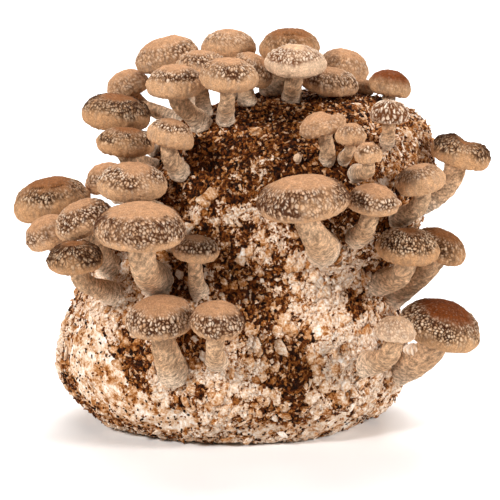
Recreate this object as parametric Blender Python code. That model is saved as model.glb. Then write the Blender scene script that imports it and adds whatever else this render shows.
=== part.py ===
# Shiitake log: a moulded block of sawdust and white mycelium with 38 young mushrooms and one bud.
# Blender 4.5, metres, +Z up, front towards -Y. Lengths in the tables are millimetres.

import math
from collections import namedtuple

import bmesh
import bpy
from mathutils import Matrix, Vector, noise
from mathutils.bvhtree import BVHTree
from mathutils.geometry import interpolate_bezier

MM = 0.001
GAP = 0.3 * MM                      # air between two pieces that touch
LOG_SKIN = 0.4 * MM                 # how far the cutter that shapes each foot stands off the log

# Where a thing appears from the front, a little above the table: "across" and "up" in millimetres
# from the middle of the log's base, measured in the plane through the middle of the log.
VIEW_TILT = math.radians(13)
VIEW_DISTANCE = 1400 * MM
VIEW_HEIGHT = 100 * MM

# The block
LOG_SEGMENTS = 32
LOG_RINGS = 23
LOG_RIPPLES = ((46 * MM, 5.0 * MM), (19 * MM, 2.6 * MM))    # size and depth of the lumps
BASE_BLEND = 14 * MM                # lumps fade out over this height above the table
CLEFT_START = 18 * MM               # the seam between the two bulges begins right of this
CLEFT_END = 84 * MM
CLEFT_HEIGHT = 96 * MM
CLEFT_HALF_WIDTH = 8 * MM
CLEFT_DEPTH = 9 * MM

# Top to bottom: height, left, right, front, back of the block's outline, and how boxy it is
# (2 is an ellipse)
LOG_ROWS = (
    (190, 34, 34, 8, 8, 2.0),
    (188, 6, 60, -10, 24, 2.0),
    (183, -20, 83, -27, 40, 2.1),
    (173, -42, 101, -44, 54, 2.2),
    (155, -57, 106, -57, 62, 2.3),
    (133, -70, 103, -63, 66, 2.3),
    (110, -81, 94, -65, 68, 2.3),
    (88, -93, 86, -67, 70, 2.3),
    (64, -105, 88, -74, 73, 2.3),
    (40, -113, 91, -77, 73, 2.2),
    (18, -110, 88, -73, 69, 2.1),
    (3, -90, 74, -60, 56, 1.95),
    (-4, -58, 46, -40, 36, 1.95),
    (-6, -5, -5, 0, 0, 2.0),
)

# The cap's section from the middle of its top round the inrolled rim to the disc under it:
# share of the radius, share of the thickness.
CAP_SECTION = (
    (0.00, 0.50),
    (0.44, 0.45),
    (0.80, 0.25),
    (1.00, -0.10),
    (0.92, -0.40),
    (0.70, -0.50),
)
DISC_LEVEL = -0.38                  # share of the thickness, where the stem meets the cap
DISC_MARGIN = 1.1 * MM              # the disc is this much wider than the stem's top
CAP_RIPPLE_SIZE = 16 * MM
CAP_RIPPLE_SHARE = 0.09             # of the radius
SHORT_STEM = 9 * MM                 # a stem under this is straight
LONG_STEM = 28 * MM                 # a stem over this has one span more
STEM_SPANS = 3
SLIM_STEM = 12.6                    # stems up to this wide, in millimetres, have six sides and not eight
NECK_STRAIGHT = 2.0 * MM            # the stem's last stretch runs along the cap's axis
STEM_SUNK = 5.0 * MM                # the stem starts this deep, before its foot is shaped
STEM_REACH = 0.34                   # handle length as a share of the stem's length
UNION_DEPTH = 1.5 * MM              # a fused stem runs this far into its cap

# cap: across, up and back of the cap's middle. lean tips the cap to the right, nod to the front,
# in degrees. foot: across and up where the stem leaves the log, and back if that is out of sight.
# shape: fold is the turn, offset, depth and half width of a crease across the top, droop the turn
# and depth of a low side, waves the number and depth of the rim's swellings.
Mushroom = namedtuple("Mushroom", "name cap width height lean nod foot neck heel shape tone",
                      defaults=({}, "tan"))

SPLIT = (
    Mushroom("front_1", (-53, 60, -86), 42, 20, -5, 9, (-45, 25), 15, 21),
    Mushroom("front_2", (-20, 58, -105), 32, 18, 2, 12, (-20, 31), 12, 14),
    Mushroom("front_3", (30, 129, -93), 54.5, 23, -6, 0, (42, 96), 15, 23),
    Mushroom("front_4", (71, 127.5, -77), 31, 16, 8, 4, (60, 102), 11, 15),
    Mushroom("front_5", (41, 171, -56), 29, 13, -16, 2, (44, 148), 9, 11, {"fold": (75, 5, 4, 3)}),
    Mushroom("front_8", (80, 178, -47), 24, 12, 0, 2, (79, 158), 8.6, 9.6, {}, "pale"),
    Mushroom("left_5", (-98, 117, -47), 37, 17, -20, 6, (-76, 84, -32), 12, 16, {"droop": (200, 2)}),
    Mushroom("left_6", (-64, 112.5, -101), 54, 23, 0, 4, (-54, 78), 16, 22),
    Mushroom("left_7", (-102, 94, -74), 33, 16, -4, 4, (-76, 70, -44), 12, 15, {}, "dark"),
    Mushroom("left_8", (-32, 99, -80), 29, 13, 4, 4, (-30, 71), 9.5, 12),
    Mushroom("right_1", (122, 155, -26), 36, 17, 14, 0, (100, 124, -24), 13, 14, {"fold": (80, 2, 4, 5)}),
    Mushroom("right_2", (98, 139, -60), 31, 15, -14, 2, (83, 114), 11, 14),
    Mushroom("right_3", (91, 101, -66), 38, 18, 5, 5, (81, 75, -40), 14, 17, {}, "dark"),
    Mushroom("right_4", (110, 101, -34), 34, 16, 22, 4, (88, 72, -16), 14, 16),
    Mushroom("right_5", (84, 52, -82), 25, 14, 5, 0, (66, 30), 13, 17),
    Mushroom("right_6", (111, 56, -42), 50, 22, 15, 8, (87, 26, -28), 18, 20, {"droop": (0, 1.5)}),
    Mushroom("shoulder_3", (-46, 166, -56), 29, 14, 12, 4, (-41, 141), 11.5, 13, {"droop": (0, 2)}),
    Mushroom("top_3", (-44, 196, -36), 35, 17, -2, 2, (-27, 169), 12, 14),
    Mushroom("top_6", (-13, 200, -50), 35, 17, 2, 4, (-15, 171), 9.8, 11),
    Mushroom("top_9", (26, 208, -18), 36, 16, 2, 4, (23, 184), 11, 12, {"waves": (6, 1.3)}),
)

WHOLE = (
    Mushroom("front_6", (58, 165, -74), 18.5, 12, 2, 2, (53.5, 149), 7, 8),
    Mushroom("front_7", (68, 154, -88), 18, 11.5, -6, 2, (60.5, 141), 8, 11.5),
    Mushroom("left_1", (-116, 128, 11), 47, 22, -10, 2, (-80, 113, 0), 15, 17, {}, "dark"),
    Mushroom("left_2", (-84, 140, 30), 28, 16, -12, 2, (-66, 126, 12), 10, 12),
    Mushroom("left_3", (-69, 138, -58), 42.5, 19, 2, 4, (-54, 118), 13, 15),
    Mushroom("left_4", (-118.5, 108.5, -26), 30, 17, -24, 2, (-88, 94, -22), 11, 13),
    Mushroom("shoulder_1", (-78, 178, 4), 41, 18, 6, 2, (-52, 156, 8), 12, 14, {}, "dark"),
    Mushroom("shoulder_2", (-73, 161, -30), 35, 14, 4, 2, (-57, 144, -18), 12, 14),
    Mushroom("top_1", (-72, 194.5, 34), 27, 15, -20, 0, (-42, 172, 24), 9, 11),
    Mushroom("top_2", (-49, 212, 28), 39, 18, -14, 0, (-32, 178, 18), 11, 13),
    Mushroom("top_4", (-29, 206, -1), 31, 14, 0, 0, (-27, 174, -8), 9, 10),
    Mushroom("top_5", (-13, 217, 31), 34, 17, 2, 0, (-10, 182, 22), 11, 13),
    Mushroom("top_7", (1, 203, -6), 28, 16, 26, 0, (-1, 182, -4), 10, 12),
    Mushroom("top_8", (22.5, 217, 18), 37, 18, 0, 0, (11, 185, 16), 14, 17),
    Mushroom("top_10", (54, 205, 36), 32, 18, 12, 0, (52, 186, 30), 11, 13),
    Mushroom("top_11", (46, 196, 2), 35, 14, 8, 2, (46, 186, 4), 11, 13),
    Mushroom("top_12", (65, 192, 14), 13, 9, 6, 0, (64, 184, 12), 6, 7),
    Mushroom("top_13", (81, 195, 6), 26, 13, 8, 2, (79, 180, 6), 9, 10, {"droop": (-20, 2)}, "dark"),
)

BUD_PLACE = (27, 150)
BUD_WIDTH = 5.2 * MM

COLOURS = {
    "log": ((0.36, 0.20, 0.10), 0.95),
    "tan": ((0.52, 0.29, 0.16), 0.85),
    "dark": ((0.32, 0.16, 0.08), 0.85),
    "pale": ((0.68, 0.46, 0.31), 0.85),
    "stem": ((0.62, 0.40, 0.25), 0.85),
}


def clear_scene():
    for thing in list(bpy.data.objects):
        bpy.data.objects.remove(thing, do_unlink=True)


def new_collection(name):
    collection = bpy.data.collections.new(name)
    bpy.context.scene.collection.children.link(collection)
    return collection


def material(name):
    colour, roughness = COLOURS[name]
    mat = bpy.data.materials.get(name) or bpy.data.materials.new(name)
    mat.use_nodes = True
    shader = mat.node_tree.nodes["Principled BSDF"]
    shader.inputs["Base Color"].default_value = (*colour, 1)
    shader.inputs["Roughness"].default_value = roughness
    shader.inputs["Metallic"].default_value = 0
    mat.diffuse_color = (*colour, 1)
    return mat


def add_object(name, mesh, collection, tone):
    thing = bpy.data.objects.new(name, mesh)
    collection.objects.link(thing)
    thing.parent = root
    mesh.materials.append(material(tone))
    mesh.shade_smooth()
    return thing


def mesh_from(bm, name):
    bmesh.ops.recalc_face_normals(bm, faces=bm.faces)
    mesh = bpy.data.meshes.new(name)
    bm.to_mesh(mesh)
    bm.free()
    return mesh


def hide_as_cutter(thing):
    thing.hide_render = True
    thing.display_type = "WIRE"


def boolean(thing, cutter, operation):
    cut = thing.modifiers.new(cutter.name, "BOOLEAN")
    cut.operation = operation
    cut.solver = "EXACT"
    cut.object = cutter


def view_point(across, up, back):
    """The point that shows at (across, up) in the front view and lies at the depth back."""
    x, v, y = across * MM, up * MM - VIEW_HEIGHT * math.cos(VIEW_TILT), back * MM
    sine, cosine = math.sin(VIEW_TILT), math.cos(VIEW_TILT)
    reach = VIEW_DISTANCE * cosine
    rise = v * (1 + y / reach) / (1 + v * sine / reach)
    depth = (y - rise * sine) / cosine
    near = 1 + depth / VIEW_DISTANCE
    return Vector((x * near, y, VIEW_HEIGHT + rise * cosine - depth * sine))


def view_ray(across, up):
    near, far = view_point(across, up, -400), view_point(across, up, 200)
    return near, (far - near).normalized()


def log_row(share):
    """The outline at a share of the way from the top row to the bottom row, curved between rows."""
    last = len(LOG_ROWS) - 1
    place = min(share, 0.9999) * last
    index = int(place)
    t = place - index
    rows = [LOG_ROWS[min(max(index + k, 0), last)] for k in (-1, 0, 1, 2)]
    row = []
    for a, b, c, d in zip(*rows):
        row.append(b + 0.5 * t * (c - a + t * (2 * a - 5 * b + 4 * c - d + t * (3 * (b - c) + d - a))))
    return row


def superellipse(turn, low, high, power):
    """Position between low and high for the cosine or sine of a turn."""
    middle, half = (low + high) / 2, (high - low) / 2
    return middle + half * math.copysign(abs(turn) ** (2 / power), turn)


def lumps(point):
    depth = sum(noise.noise(point / size) * height for size, height in LOG_RIPPLES)
    return depth * min(1, max(0, point.z / BASE_BLEND))


def cleft(point):
    along = (point.x - CLEFT_START) / (CLEFT_END - CLEFT_START)
    if along <= 0 or point.y > 0:
        return 0
    off = (point.z - CLEFT_HEIGHT + 12 * MM * along) / CLEFT_HALF_WIDTH
    return CLEFT_DEPTH * min(1, along) * math.exp(-off * off)


def make_log(collection):
    bm = bmesh.new()
    bmesh.ops.create_uvsphere(bm, u_segments=LOG_SEGMENTS, v_segments=LOG_RINGS, radius=1)
    for vert in bm.verts:
        share = math.acos(max(-1, min(1, vert.co.z))) / math.pi
        height, left, right, front, back, boxy = log_row(share)
        around = math.atan2(vert.co.y, vert.co.x)
        vert.co = (superellipse(math.cos(around), left * MM, right * MM, boxy),
                   superellipse(math.sin(around), front * MM, back * MM, boxy),
                   height * MM)
    bmesh.ops.recalc_face_normals(bm, faces=bm.faces)
    bm.normal_update()
    moves = [(vert, vert.normal * (lumps(vert.co) - cleft(vert.co))) for vert in bm.verts]
    for vert, move in moves:
        vert.co += move
    floor = bmesh.ops.bisect_plane(bm, geom=bm.verts[:] + bm.edges[:] + bm.faces[:], plane_co=(0, 0, 0),
                                   plane_no=(0, 0, -1), clear_outer=True)
    rim = [edge for edge in floor["geom_cut"] if isinstance(edge, bmesh.types.BMEdge)]
    bmesh.ops.contextual_create(bm, geom=rim)
    bmesh.ops.triangulate(bm, faces=bm.faces)
    return add_object("log", mesh_from(bm, "log"), collection, "log")


def grown_copy(thing, distance, cutters):
    """A copy that stands off the thing all round, to cut what touches it."""
    bm = bmesh.new()
    bm.from_mesh(thing.data)
    bm.normal_update()
    moves = [(vert, vert.normal * distance) for vert in bm.verts]
    for vert, move in moves:
        vert.co += move
    name = thing.name + "_cutter"
    cutter = add_object(name, mesh_from(bm, name), cutters, "log")
    hide_as_cutter(cutter)
    return cutter


def cap_tilt(m):
    return Matrix.Rotation(math.radians(m.lean), 3, "Y") @ Matrix.Rotation(math.radians(m.nod), 3, "X")


def shape_cap(point, m):
    """Moves a point of the turned cap: ripples, a fold across the top, a drooping side, a wavy rim."""
    radius = m.width * MM / 2
    away = math.hypot(point.x, point.y) / radius
    around = math.atan2(point.y, point.x)
    seed = Vector((sum(map(ord, m.name)), 0, 0))
    ripple = noise.noise(point / CAP_RIPPLE_SIZE + seed) * CAP_RIPPLE_SHARE * min(1, away * 1.5)
    moved = Vector((point.x * (1 + ripple), point.y * (1 + ripple), point.z))
    if "fold" in m.shape:
        turn, offset, depth, half_width = m.shape["fold"]
        turn = math.radians(turn)
        off = (point.x * math.sin(turn) - point.y * math.cos(turn) - offset * MM) / (half_width * MM)
        moved.z -= depth * MM * math.exp(-off * off)
    if "droop" in m.shape:
        turn, depth = m.shape["droop"]
        side = max(0, math.cos(around - math.radians(turn)))
        moved.z -= depth * MM * side * side * away * away
    if "waves" in m.shape:
        count, depth = m.shape["waves"]
        swell = 1 + depth * MM / radius * math.cos(count * around)
        moved.x *= swell
        moved.y *= swell
    return moved


def cap_segments(m, fused):
    segments = 14 if m.width > 45 else 12 if m.width > 30 else 10
    return segments - 2 if fused else segments


def make_cap(name, m, collection, fused=False):
    radius, thickness = m.width * MM / 2, m.height * MM
    bm = bmesh.new()
    section = list(CAP_SECTION)
    section.append(((m.neck * MM / 2 + DISC_MARGIN) / radius, DISC_LEVEL))
    section.append((0, DISC_LEVEL))
    points = [bm.verts.new((r * radius, 0, z * thickness)) for r, z in section]
    edges = [bm.edges.new(pair) for pair in zip(points, points[1:])]
    bmesh.ops.spin(bm, geom=points + edges, cent=(0, 0, 0), axis=(0, 0, 1), angle=math.tau,
                   steps=cap_segments(m, fused), use_merge=True)
    bmesh.ops.remove_doubles(bm, verts=bm.verts, dist=0.01 * MM)
    disc = DISC_LEVEL * thickness
    reach = section[-2][0] * radius * 1.01
    for vert in bm.verts:
        on_disc = vert.co.z < 0 and vert.co.xy.length < reach and abs(vert.co.z - disc) < 0.01 * MM
        if not on_disc:
            vert.co = shape_cap(vert.co, m)
    place = Matrix.Translation(view_point(*m.cap)) @ cap_tilt(m).to_4x4()
    bm.transform(place)
    return add_object(name, mesh_from(bm, name), collection, m.tone)


def foot_of(m, tree):
    """Where the stem leaves the log, and the log's outward direction there."""
    if len(m.foot) == 2:
        hit, normal, _, _ = tree.ray_cast(*view_ray(*m.foot))
        return hit, normal
    near, normal, _, _ = tree.find_nearest(view_point(*m.foot))
    return near, normal


def stem_points(m, tree, into_cap):
    foot, outward = foot_of(m, tree)
    upward = cap_tilt(m) @ Vector((0, 0, 1))
    neck = view_point(*m.cap) + upward * (DISC_LEVEL * m.height * MM + into_cap)
    below = neck - upward * (NECK_STRAIGHT + max(0, into_cap))
    lead = (outward + Vector((0, 0, 0.5))).normalized()
    length = (below - foot).length
    handle = STEM_REACH * length
    spans = 1 if length < SHORT_STEM else STEM_SPANS + (length > LONG_STEM)
    points = interpolate_bezier(foot - outward * STEM_SUNK, foot + lead * handle,
                                below - upward * handle, below, spans + 1)
    return points + [neck]


def make_stem(name, m, collection, tree, into_cap, sides):
    points = stem_points(m, tree, into_cap)
    curve = bpy.data.curves.new(name, "CURVE")
    curve.dimensions = "3D"
    curve.bevel_depth = MM
    curve.bevel_resolution = (sides - 4) // 2
    curve.render_resolution_u = 0
    curve.use_fill_caps = True
    spline = curve.splines.new("POLY")
    spline.points.add(len(points) - 1)
    for index, point in enumerate(points):
        spline.points[index].co = (*point, 1)
        height = min(1, index / (len(points) - 2))
        spline.points[index].radius = m.neck / 2 + (m.heel - m.neck) / 2 * (1 - height) ** 1.5
    tube = bpy.data.objects.new(name + "_curve", curve)
    collection.objects.link(tube)
    depsgraph = bpy.context.evaluated_depsgraph_get()
    mesh = bpy.data.meshes.new_from_object(tube.evaluated_get(depsgraph))
    mesh.name = name
    bm = bmesh.new()
    bm.from_mesh(mesh)
    bmesh.ops.remove_doubles(bm, verts=bm.verts, dist=0.01 * MM)
    bmesh.ops.recalc_face_normals(bm, faces=bm.faces)
    bm.to_mesh(mesh)
    bm.free()
    mesh.transform(tube.matrix_world)
    bpy.data.objects.remove(tube, do_unlink=True)
    mesh.materials.clear()
    return add_object(name, mesh, collection, "stem")


def true_size(m):
    """The mushroom at its real size: the table has the sizes as seen, and what is near is seen larger."""
    near = min(1, 1 + m.cap[2] * MM / VIEW_DISTANCE)
    return m._replace(width=m.width * near, height=m.height * near, neck=m.neck * near, heel=m.heel * near)


def make_split(m, parts, tree, cutter):
    make_cap("cap_" + m.name, m, parts)
    stem = make_stem("stem_" + m.name, m, parts, tree, -GAP, 8 if m.neck > SLIM_STEM else 6)
    boolean(stem, cutter, "DIFFERENCE")


def make_whole(m, parts, cutters, tree, cutter):
    mushroom = make_cap("mushroom_" + m.name, m, parts, fused=True)
    stem = make_stem("stem_of_" + m.name, m, cutters, tree, UNION_DEPTH, 6)
    hide_as_cutter(stem)
    boolean(mushroom, stem, "UNION")
    boolean(mushroom, cutter, "DIFFERENCE")


def make_bud(parts, tree, cutter):
    hit, normal, _, _ = tree.ray_cast(*view_ray(*BUD_PLACE))
    bm = bmesh.new()
    bmesh.ops.create_uvsphere(bm, u_segments=6, v_segments=4, radius=BUD_WIDTH / 2)
    bm.transform(Matrix.Translation(hit + normal * BUD_WIDTH * 0.3))
    boolean(add_object("bud", mesh_from(bm, "bud"), parts, "pale"), cutter, "DIFFERENCE")


def centre_on_origin(parts):
    """Moves the whole object so that the middle of its box stands over the origin."""
    bpy.context.view_layer.update()
    depsgraph = bpy.context.evaluated_depsgraph_get()
    low, high = Vector((1, 1, 1)), Vector((-1, -1, -1))
    for thing in parts.objects:
        for vert in thing.evaluated_get(depsgraph).data.vertices:
            for axis in range(3):
                low[axis] = min(low[axis], vert.co[axis])
                high[axis] = max(high[axis], vert.co[axis])
    middle = (low + high) / 2
    root.location = (-round(middle.x, 4), -round(middle.y, 4), 0)


clear_scene()
parts = new_collection("shiitake_log")
cutters = new_collection("cutters")
root = bpy.data.objects.new("base_middle", None)
bpy.context.scene.collection.objects.link(root)

log = make_log(parts)
tree = BVHTree.FromPolygons([vert.co.copy() for vert in log.data.vertices],
                            [tuple(face.vertices) for face in log.data.polygons])
cutter = grown_copy(log, LOG_SKIN, cutters)
for m in map(true_size, SPLIT):
    make_split(m, parts, tree, cutter)
for m in map(true_size, WHOLE):
    make_whole(m, parts, cutters, tree, cutter)
make_bud(parts, tree, cutter)
centre_on_origin(parts)
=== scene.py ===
# Shiitake log: a moulded block of sawdust grown through with white mycelium, 38 mushrooms and a bud.
# Lengths in the dictionaries are millimetres, angles are degrees.

import math

import bmesh
import bpy
import numpy as np
from mathutils import Matrix, Vector
from mathutils.bvhtree import BVHTree
from mathutils.kdtree import KDTree


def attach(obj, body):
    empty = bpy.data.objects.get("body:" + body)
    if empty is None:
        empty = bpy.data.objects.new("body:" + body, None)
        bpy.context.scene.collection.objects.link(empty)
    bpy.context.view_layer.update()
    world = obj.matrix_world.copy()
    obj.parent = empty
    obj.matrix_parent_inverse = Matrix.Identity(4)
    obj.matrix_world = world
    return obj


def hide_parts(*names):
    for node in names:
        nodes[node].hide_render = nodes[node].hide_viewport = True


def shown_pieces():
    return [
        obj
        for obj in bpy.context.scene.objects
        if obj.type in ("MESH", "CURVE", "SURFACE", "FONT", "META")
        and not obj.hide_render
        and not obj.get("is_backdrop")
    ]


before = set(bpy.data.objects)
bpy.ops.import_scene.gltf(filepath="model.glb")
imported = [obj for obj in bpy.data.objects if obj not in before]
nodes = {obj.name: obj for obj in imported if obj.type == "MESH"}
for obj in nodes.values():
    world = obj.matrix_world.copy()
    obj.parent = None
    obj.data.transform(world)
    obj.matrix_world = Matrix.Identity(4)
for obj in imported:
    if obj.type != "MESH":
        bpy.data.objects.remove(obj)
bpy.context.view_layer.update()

mm = 0.001
dice = np.random.default_rng(38)        # one stream of random numbers, so every run is the same
view = {"tilt": 13, "distance": 1400, "aim": (1.32, 25.3, 100)}     # the camera's, as in the photograph


# Small helpers

def smoothStep(low, high, value):
    share = np.clip((value - low) / (high - low), 0, 1)
    return share * share * (3 - 2 * share)


def scramble(cells, seed):              # whole-number cells to even random numbers from 0 to 1
    n = cells.astype(np.int64)
    h = n[..., 0] * 73856093 ^ n[..., 1] * 19349663 ^ n[..., 2] * 83492791 ^ (seed * 2654435761)
    h = (h ^ (h >> 13)) * 1274126177 & 0x7fffffff
    h = (h ^ (h >> 16)) * 668265263 & 0x7fffffff
    return (h ^ (h >> 15)) / 0x7fffffff


def softNoise(points, size, seed, octaves=2):       # -1 to 1, in lumps of that size
    total, weight, full = 0, 1, 0
    for octave in range(octaves):
        place = points / (size / 2 ** octave)
        corner = np.floor(place)
        near = place - corner
        near = near * near * (3 - 2 * near)
        value = 0
        for index in range(8):
            step = np.array([index & 1, index >> 1 & 1, index >> 2])
            share = np.prod(np.where(step, near, 1 - near), axis=1)
            value = value + share * scramble(corner + step, seed + octave)
        total = total + weight * (2 * value - 1)
        full += weight
        weight *= 0.5
    return total / full * 1.4


def cellNoise(points, size, seed):      # distance to the nearest spot, room to the next, random per spot
    place = points / size
    home = np.floor(place)
    nearest = np.full(len(points), 9.0)
    second = np.full(len(points), 9.0)
    tint = np.zeros(len(points))
    for index in range(27):
        cell = home + np.array([index % 3 - 1, index // 3 % 3 - 1, index // 9 - 1])
        spot = np.stack([scramble(cell, seed + axis) for axis in (1, 2, 3)], axis=1)
        gap = np.linalg.norm(place - cell - 0.5 - 0.9 * (spot - 0.5), axis=1)
        closer = gap < nearest
        second = np.where(closer, nearest, np.minimum(second, gap))
        tint = np.where(closer, scramble(cell, seed + 4), tint)
        nearest = np.minimum(nearest, gap)
    return nearest, second - nearest, tint


def mergedCopy(nodeName):
    bm = bmesh.new()
    bm.from_mesh(nodes[nodeName].data)
    bmesh.ops.remove_doubles(bm, verts=bm.verts, dist=0.02 * mm)
    return bm


def refined(bm, levels, voxel, rounds):             # a fine, even net over a coarse closed shape
    coarse = bpy.data.meshes.new("coarse")
    bm.to_mesh(coarse)
    bm.free()
    thing = bpy.data.objects.new("coarse", coarse)
    bpy.context.scene.collection.objects.link(thing)
    roundOff = thing.modifiers.new("roundOff", "SUBSURF")
    roundOff.levels = roundOff.render_levels = levels
    net = thing.modifiers.new("net", "REMESH")
    net.mode = "VOXEL"
    net.voxel_size = voxel * mm
    ease = thing.modifiers.new("ease", "SMOOTH")
    ease.factor = 0.5
    ease.iterations = rounds
    depsgraph = bpy.context.evaluated_depsgraph_get()
    fine = bpy.data.meshes.new_from_object(thing.evaluated_get(depsgraph))
    bpy.data.objects.remove(thing)
    bpy.data.meshes.remove(coarse)
    return fine


def pointsOf(mesh):
    flat = np.empty(len(mesh.vertices) * 3)
    mesh.vertices.foreach_get("co", flat)
    return flat.reshape(-1, 3)


def normalsOf(mesh):
    flat = np.empty(len(mesh.vertices) * 3)
    mesh.vertex_normals.foreach_get("vector", flat)
    return flat.reshape(-1, 3)


def movePoints(mesh, points):
    points[:, 2] = np.maximum(points[:, 2], 0.02 * mm)      # nothing goes under the table
    mesh.vertices.foreach_set("co", points.ravel())
    mesh.update()


def setAttribute(mesh, name, values):
    if values.ndim == 2:
        made = mesh.attributes.new(name, "FLOAT_VECTOR", "POINT")
        made.data.foreach_set("vector", values.astype(np.float32).ravel())
    else:
        made = mesh.attributes.new(name, "FLOAT", "POINT")
        made.data.foreach_set("value", values.astype(np.float32))


def addPiece(name, mesh, material, replaced=(), smooth=True):
    mesh.name = name
    mesh.materials.clear()
    mesh.materials.append(material)
    if smooth:
        mesh.shade_smooth()
    else:
        mesh.shade_flat()
    piece = bpy.data.objects.new(name, mesh)
    bpy.context.scene.collection.objects.link(piece)
    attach(piece, "root")
    if replaced:
        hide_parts(*replaced)
    return piece


def seenAt(points):                     # across and up in millimetres, as the photograph shows a point
    tilt = math.radians(view["tilt"])
    rel = points / mm - np.array(view["aim"]) + [-0.58, 0, 0]
    depth = view["distance"] + rel[:, 1] * math.cos(tilt) - rel[:, 2] * math.sin(tilt)
    near = view["distance"] / depth
    up = (rel[:, 1] * math.sin(tilt) + rel[:, 2] * math.cos(tilt)) * near + 100 * math.cos(tilt)
    return rel[:, 0] * near, up


# Materials

def colour(code):                       # sRGB hex to the linear colour that the shaders take
    channels = [int(code[i:i + 2], 16) / 255 for i in (1, 3, 5)]
    return [c / 12.92 if c <= 0.04045 else ((c + 0.055) / 1.055) ** 2.4 for c in channels] + [1]


def addNode(tree, kind, values=None, ramp=None, **settings):
    node = tree.nodes.new(kind)
    for name, value in settings.items():
        setattr(node, name, value)
    for socket, value in (values or {}).items():
        if isinstance(value, bpy.types.NodeSocket):
            tree.links.new(value, node.inputs[socket])
        else:
            node.inputs[socket].default_value = value
    for index, (position, code) in enumerate(ramp or ()):
        stops = node.color_ramp.elements
        stop = stops[index] if index < len(stops) else stops.new(position)
        stop.position = position
        stop.color = colour(code)
    return node


def startMaterial(name, roughness=0.8, specular=0.5):
    material = bpy.data.materials.new(name)
    material.use_nodes = True
    tree = material.node_tree
    where = addNode(tree, "ShaderNodeTexCoord").outputs["Object"]
    shader = tree.nodes["Principled BSDF"]
    shader.inputs["Roughness"].default_value = roughness
    shader.inputs["Specular IOR Level"].default_value = specular
    return material, tree, shader, where


# the pale scale colour is partly the scales' own and partly painted highlight on their tops; the dark gap colour
# is partly the skin's own and partly painted shade in the recesses
capColours = {
    "tan": {"crown": "#b0835f", "margin": "#c2966f", "flakeAndHighlight": "#f6e2cb", "crackAndShade": "#3f1c07"},
    "dark": {"crown": "#80502c", "margin": "#b58860", "flakeAndHighlight": "#efd6b8", "crackAndShade": "#2c1103"},
    "chestnut": {"crown": "#6c3614", "margin": "#bf946c", "flakeAndHighlight": "#f1dabd", "crackAndShade": "#331405"},
    "pale": {"crown": "#c9a27f", "margin": "#d9b797", "flakeAndHighlight": "#f9e9d6", "crackAndShade": "#63330f"},
}


def capSkin(tone):
    # Felted mushroom skin: dry and matt, torn into pale scales over dark cracks in a belt round the cap. The pale
    # scale colour is partly painted highlight on the raised scale tops, and the dark crack colour is partly
    # painted shade in the gaps, wrinkle valleys and splits
    codes = capColours[tone]
    material, tree, shader, where = startMaterial("shiitakeCap_" + tone, 0.85, 0.08)
    marks = {mark: addNode(tree, "ShaderNodeAttribute", attribute_name=mark).outputs["Fac"]
             for mark in ("crown", "flakeAndHighlight", "crackAndShade")}
    mottle = addNode(tree, "ShaderNodeTexNoise", {"Vector": where, "Scale": 300, "Detail": 3,
                                                  "Roughness": 0.6}).outputs["Fac"]
    felt = addNode(tree, "ShaderNodeTexNoise", {"Vector": where, "Scale": 1300, "Detail": 2,
                                                "Roughness": 0.7}).outputs["Fac"]
    skin = addNode(tree, "ShaderNodeMix", {0: marks["crown"], 6: colour(codes["margin"]),
                                           7: colour(codes["crown"])}, data_type="RGBA").outputs[2]
    for grain, low, high in ((mottle, 0.8, 1.16), (felt, 0.7, 1.24)):
        speck = addNode(tree, "ShaderNodeMapRange", {"Value": grain, "From Min": 0.34, "From Max": 0.66,
                                                     "To Min": low, "To Max": high}).outputs[0]
        skin = addNode(tree, "ShaderNodeMix", {0: 1.0, 6: skin, 7: speck}, data_type="RGBA",
                       blend_type="MULTIPLY").outputs[2]
    # pale on the scale tops and dark in the gaps: partly the skin's own colours, partly painted highlight and
    # painted shade
    for code in ("flakeAndHighlight", "crackAndShade"):
        skin = addNode(tree, "ShaderNodeMix", {0: marks[code], 6: skin, 7: colour(codes[code])},
                       data_type="RGBA").outputs[2]
    bump = addNode(tree, "ShaderNodeBump", {"Height": felt, "Strength": 1.0, "Distance": 0.4 * mm})
    tree.links.new(skin, shader.inputs["Base Color"])
    tree.links.new(bump.outputs[0], shader.inputs["Normal"])
    return material


def stemSkin():
    # Stem flesh: beige and fibrous, with short brown hairs across it, whiter at the foot; the darker neck under
    # the cap is partly painted shade
    material, tree, shader, where = startMaterial("shiitakeStem", 0.85, 0.08)
    foot = addNode(tree, "ShaderNodeAttribute", attribute_name="foot").outputs["Fac"]
    strands = addNode(tree, "ShaderNodeAttribute", attribute_name="strands").outputs["Vector"]
    hairs = addNode(tree, "ShaderNodeTexNoise", {"Vector": strands, "Scale": 1.0, "Detail": 2,
                                                 "Roughness": 0.6}).outputs["Fac"]
    fuzz = addNode(tree, "ShaderNodeTexNoise", {"Vector": where, "Scale": 1300, "Detail": 2,
                                                "Roughness": 0.7}).outputs["Fac"]
    cloud = addNode(tree, "ShaderNodeTexNoise", {"Vector": where, "Scale": 110, "Detail": 2}).outputs["Fac"]
    skin = addNode(tree, "ShaderNodeMix", {0: cloud, 6: colour("#c0936b"), 7: colour("#dfbb98")},
                   data_type="RGBA").outputs[2]
    # whiter towards the foot and darker at the neck: partly the stem's own colour, partly painted shade under the
    # cap
    skin = addNode(tree, "ShaderNodeMix", {0: foot, 6: skin, 7: colour("#f0d9c0")},
                   data_type="RGBA").outputs[2]
    for grain, low, high in ((hairs, 0.5, 1.2), (fuzz, 0.72, 1.18)):
        speck = addNode(tree, "ShaderNodeMapRange", {"Value": grain, "From Min": 0.36, "From Max": 0.64,
                                                     "To Min": low, "To Max": high}).outputs[0]
        skin = addNode(tree, "ShaderNodeMix", {0: 1.0, 6: skin, 7: speck}, data_type="RGBA",
                       blend_type="MULTIPLY").outputs[2]
    rise = addNode(tree, "ShaderNodeMath", {0: hairs, 1: fuzz}, operation="ADD").outputs[0]
    bump = addNode(tree, "ShaderNodeBump", {"Height": rise, "Strength": 1.0, "Distance": 0.7 * mm})
    tree.links.new(skin, shader.inputs["Base Color"])
    tree.links.new(bump.outputs[0], shader.inputs["Normal"])
    return material


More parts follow.
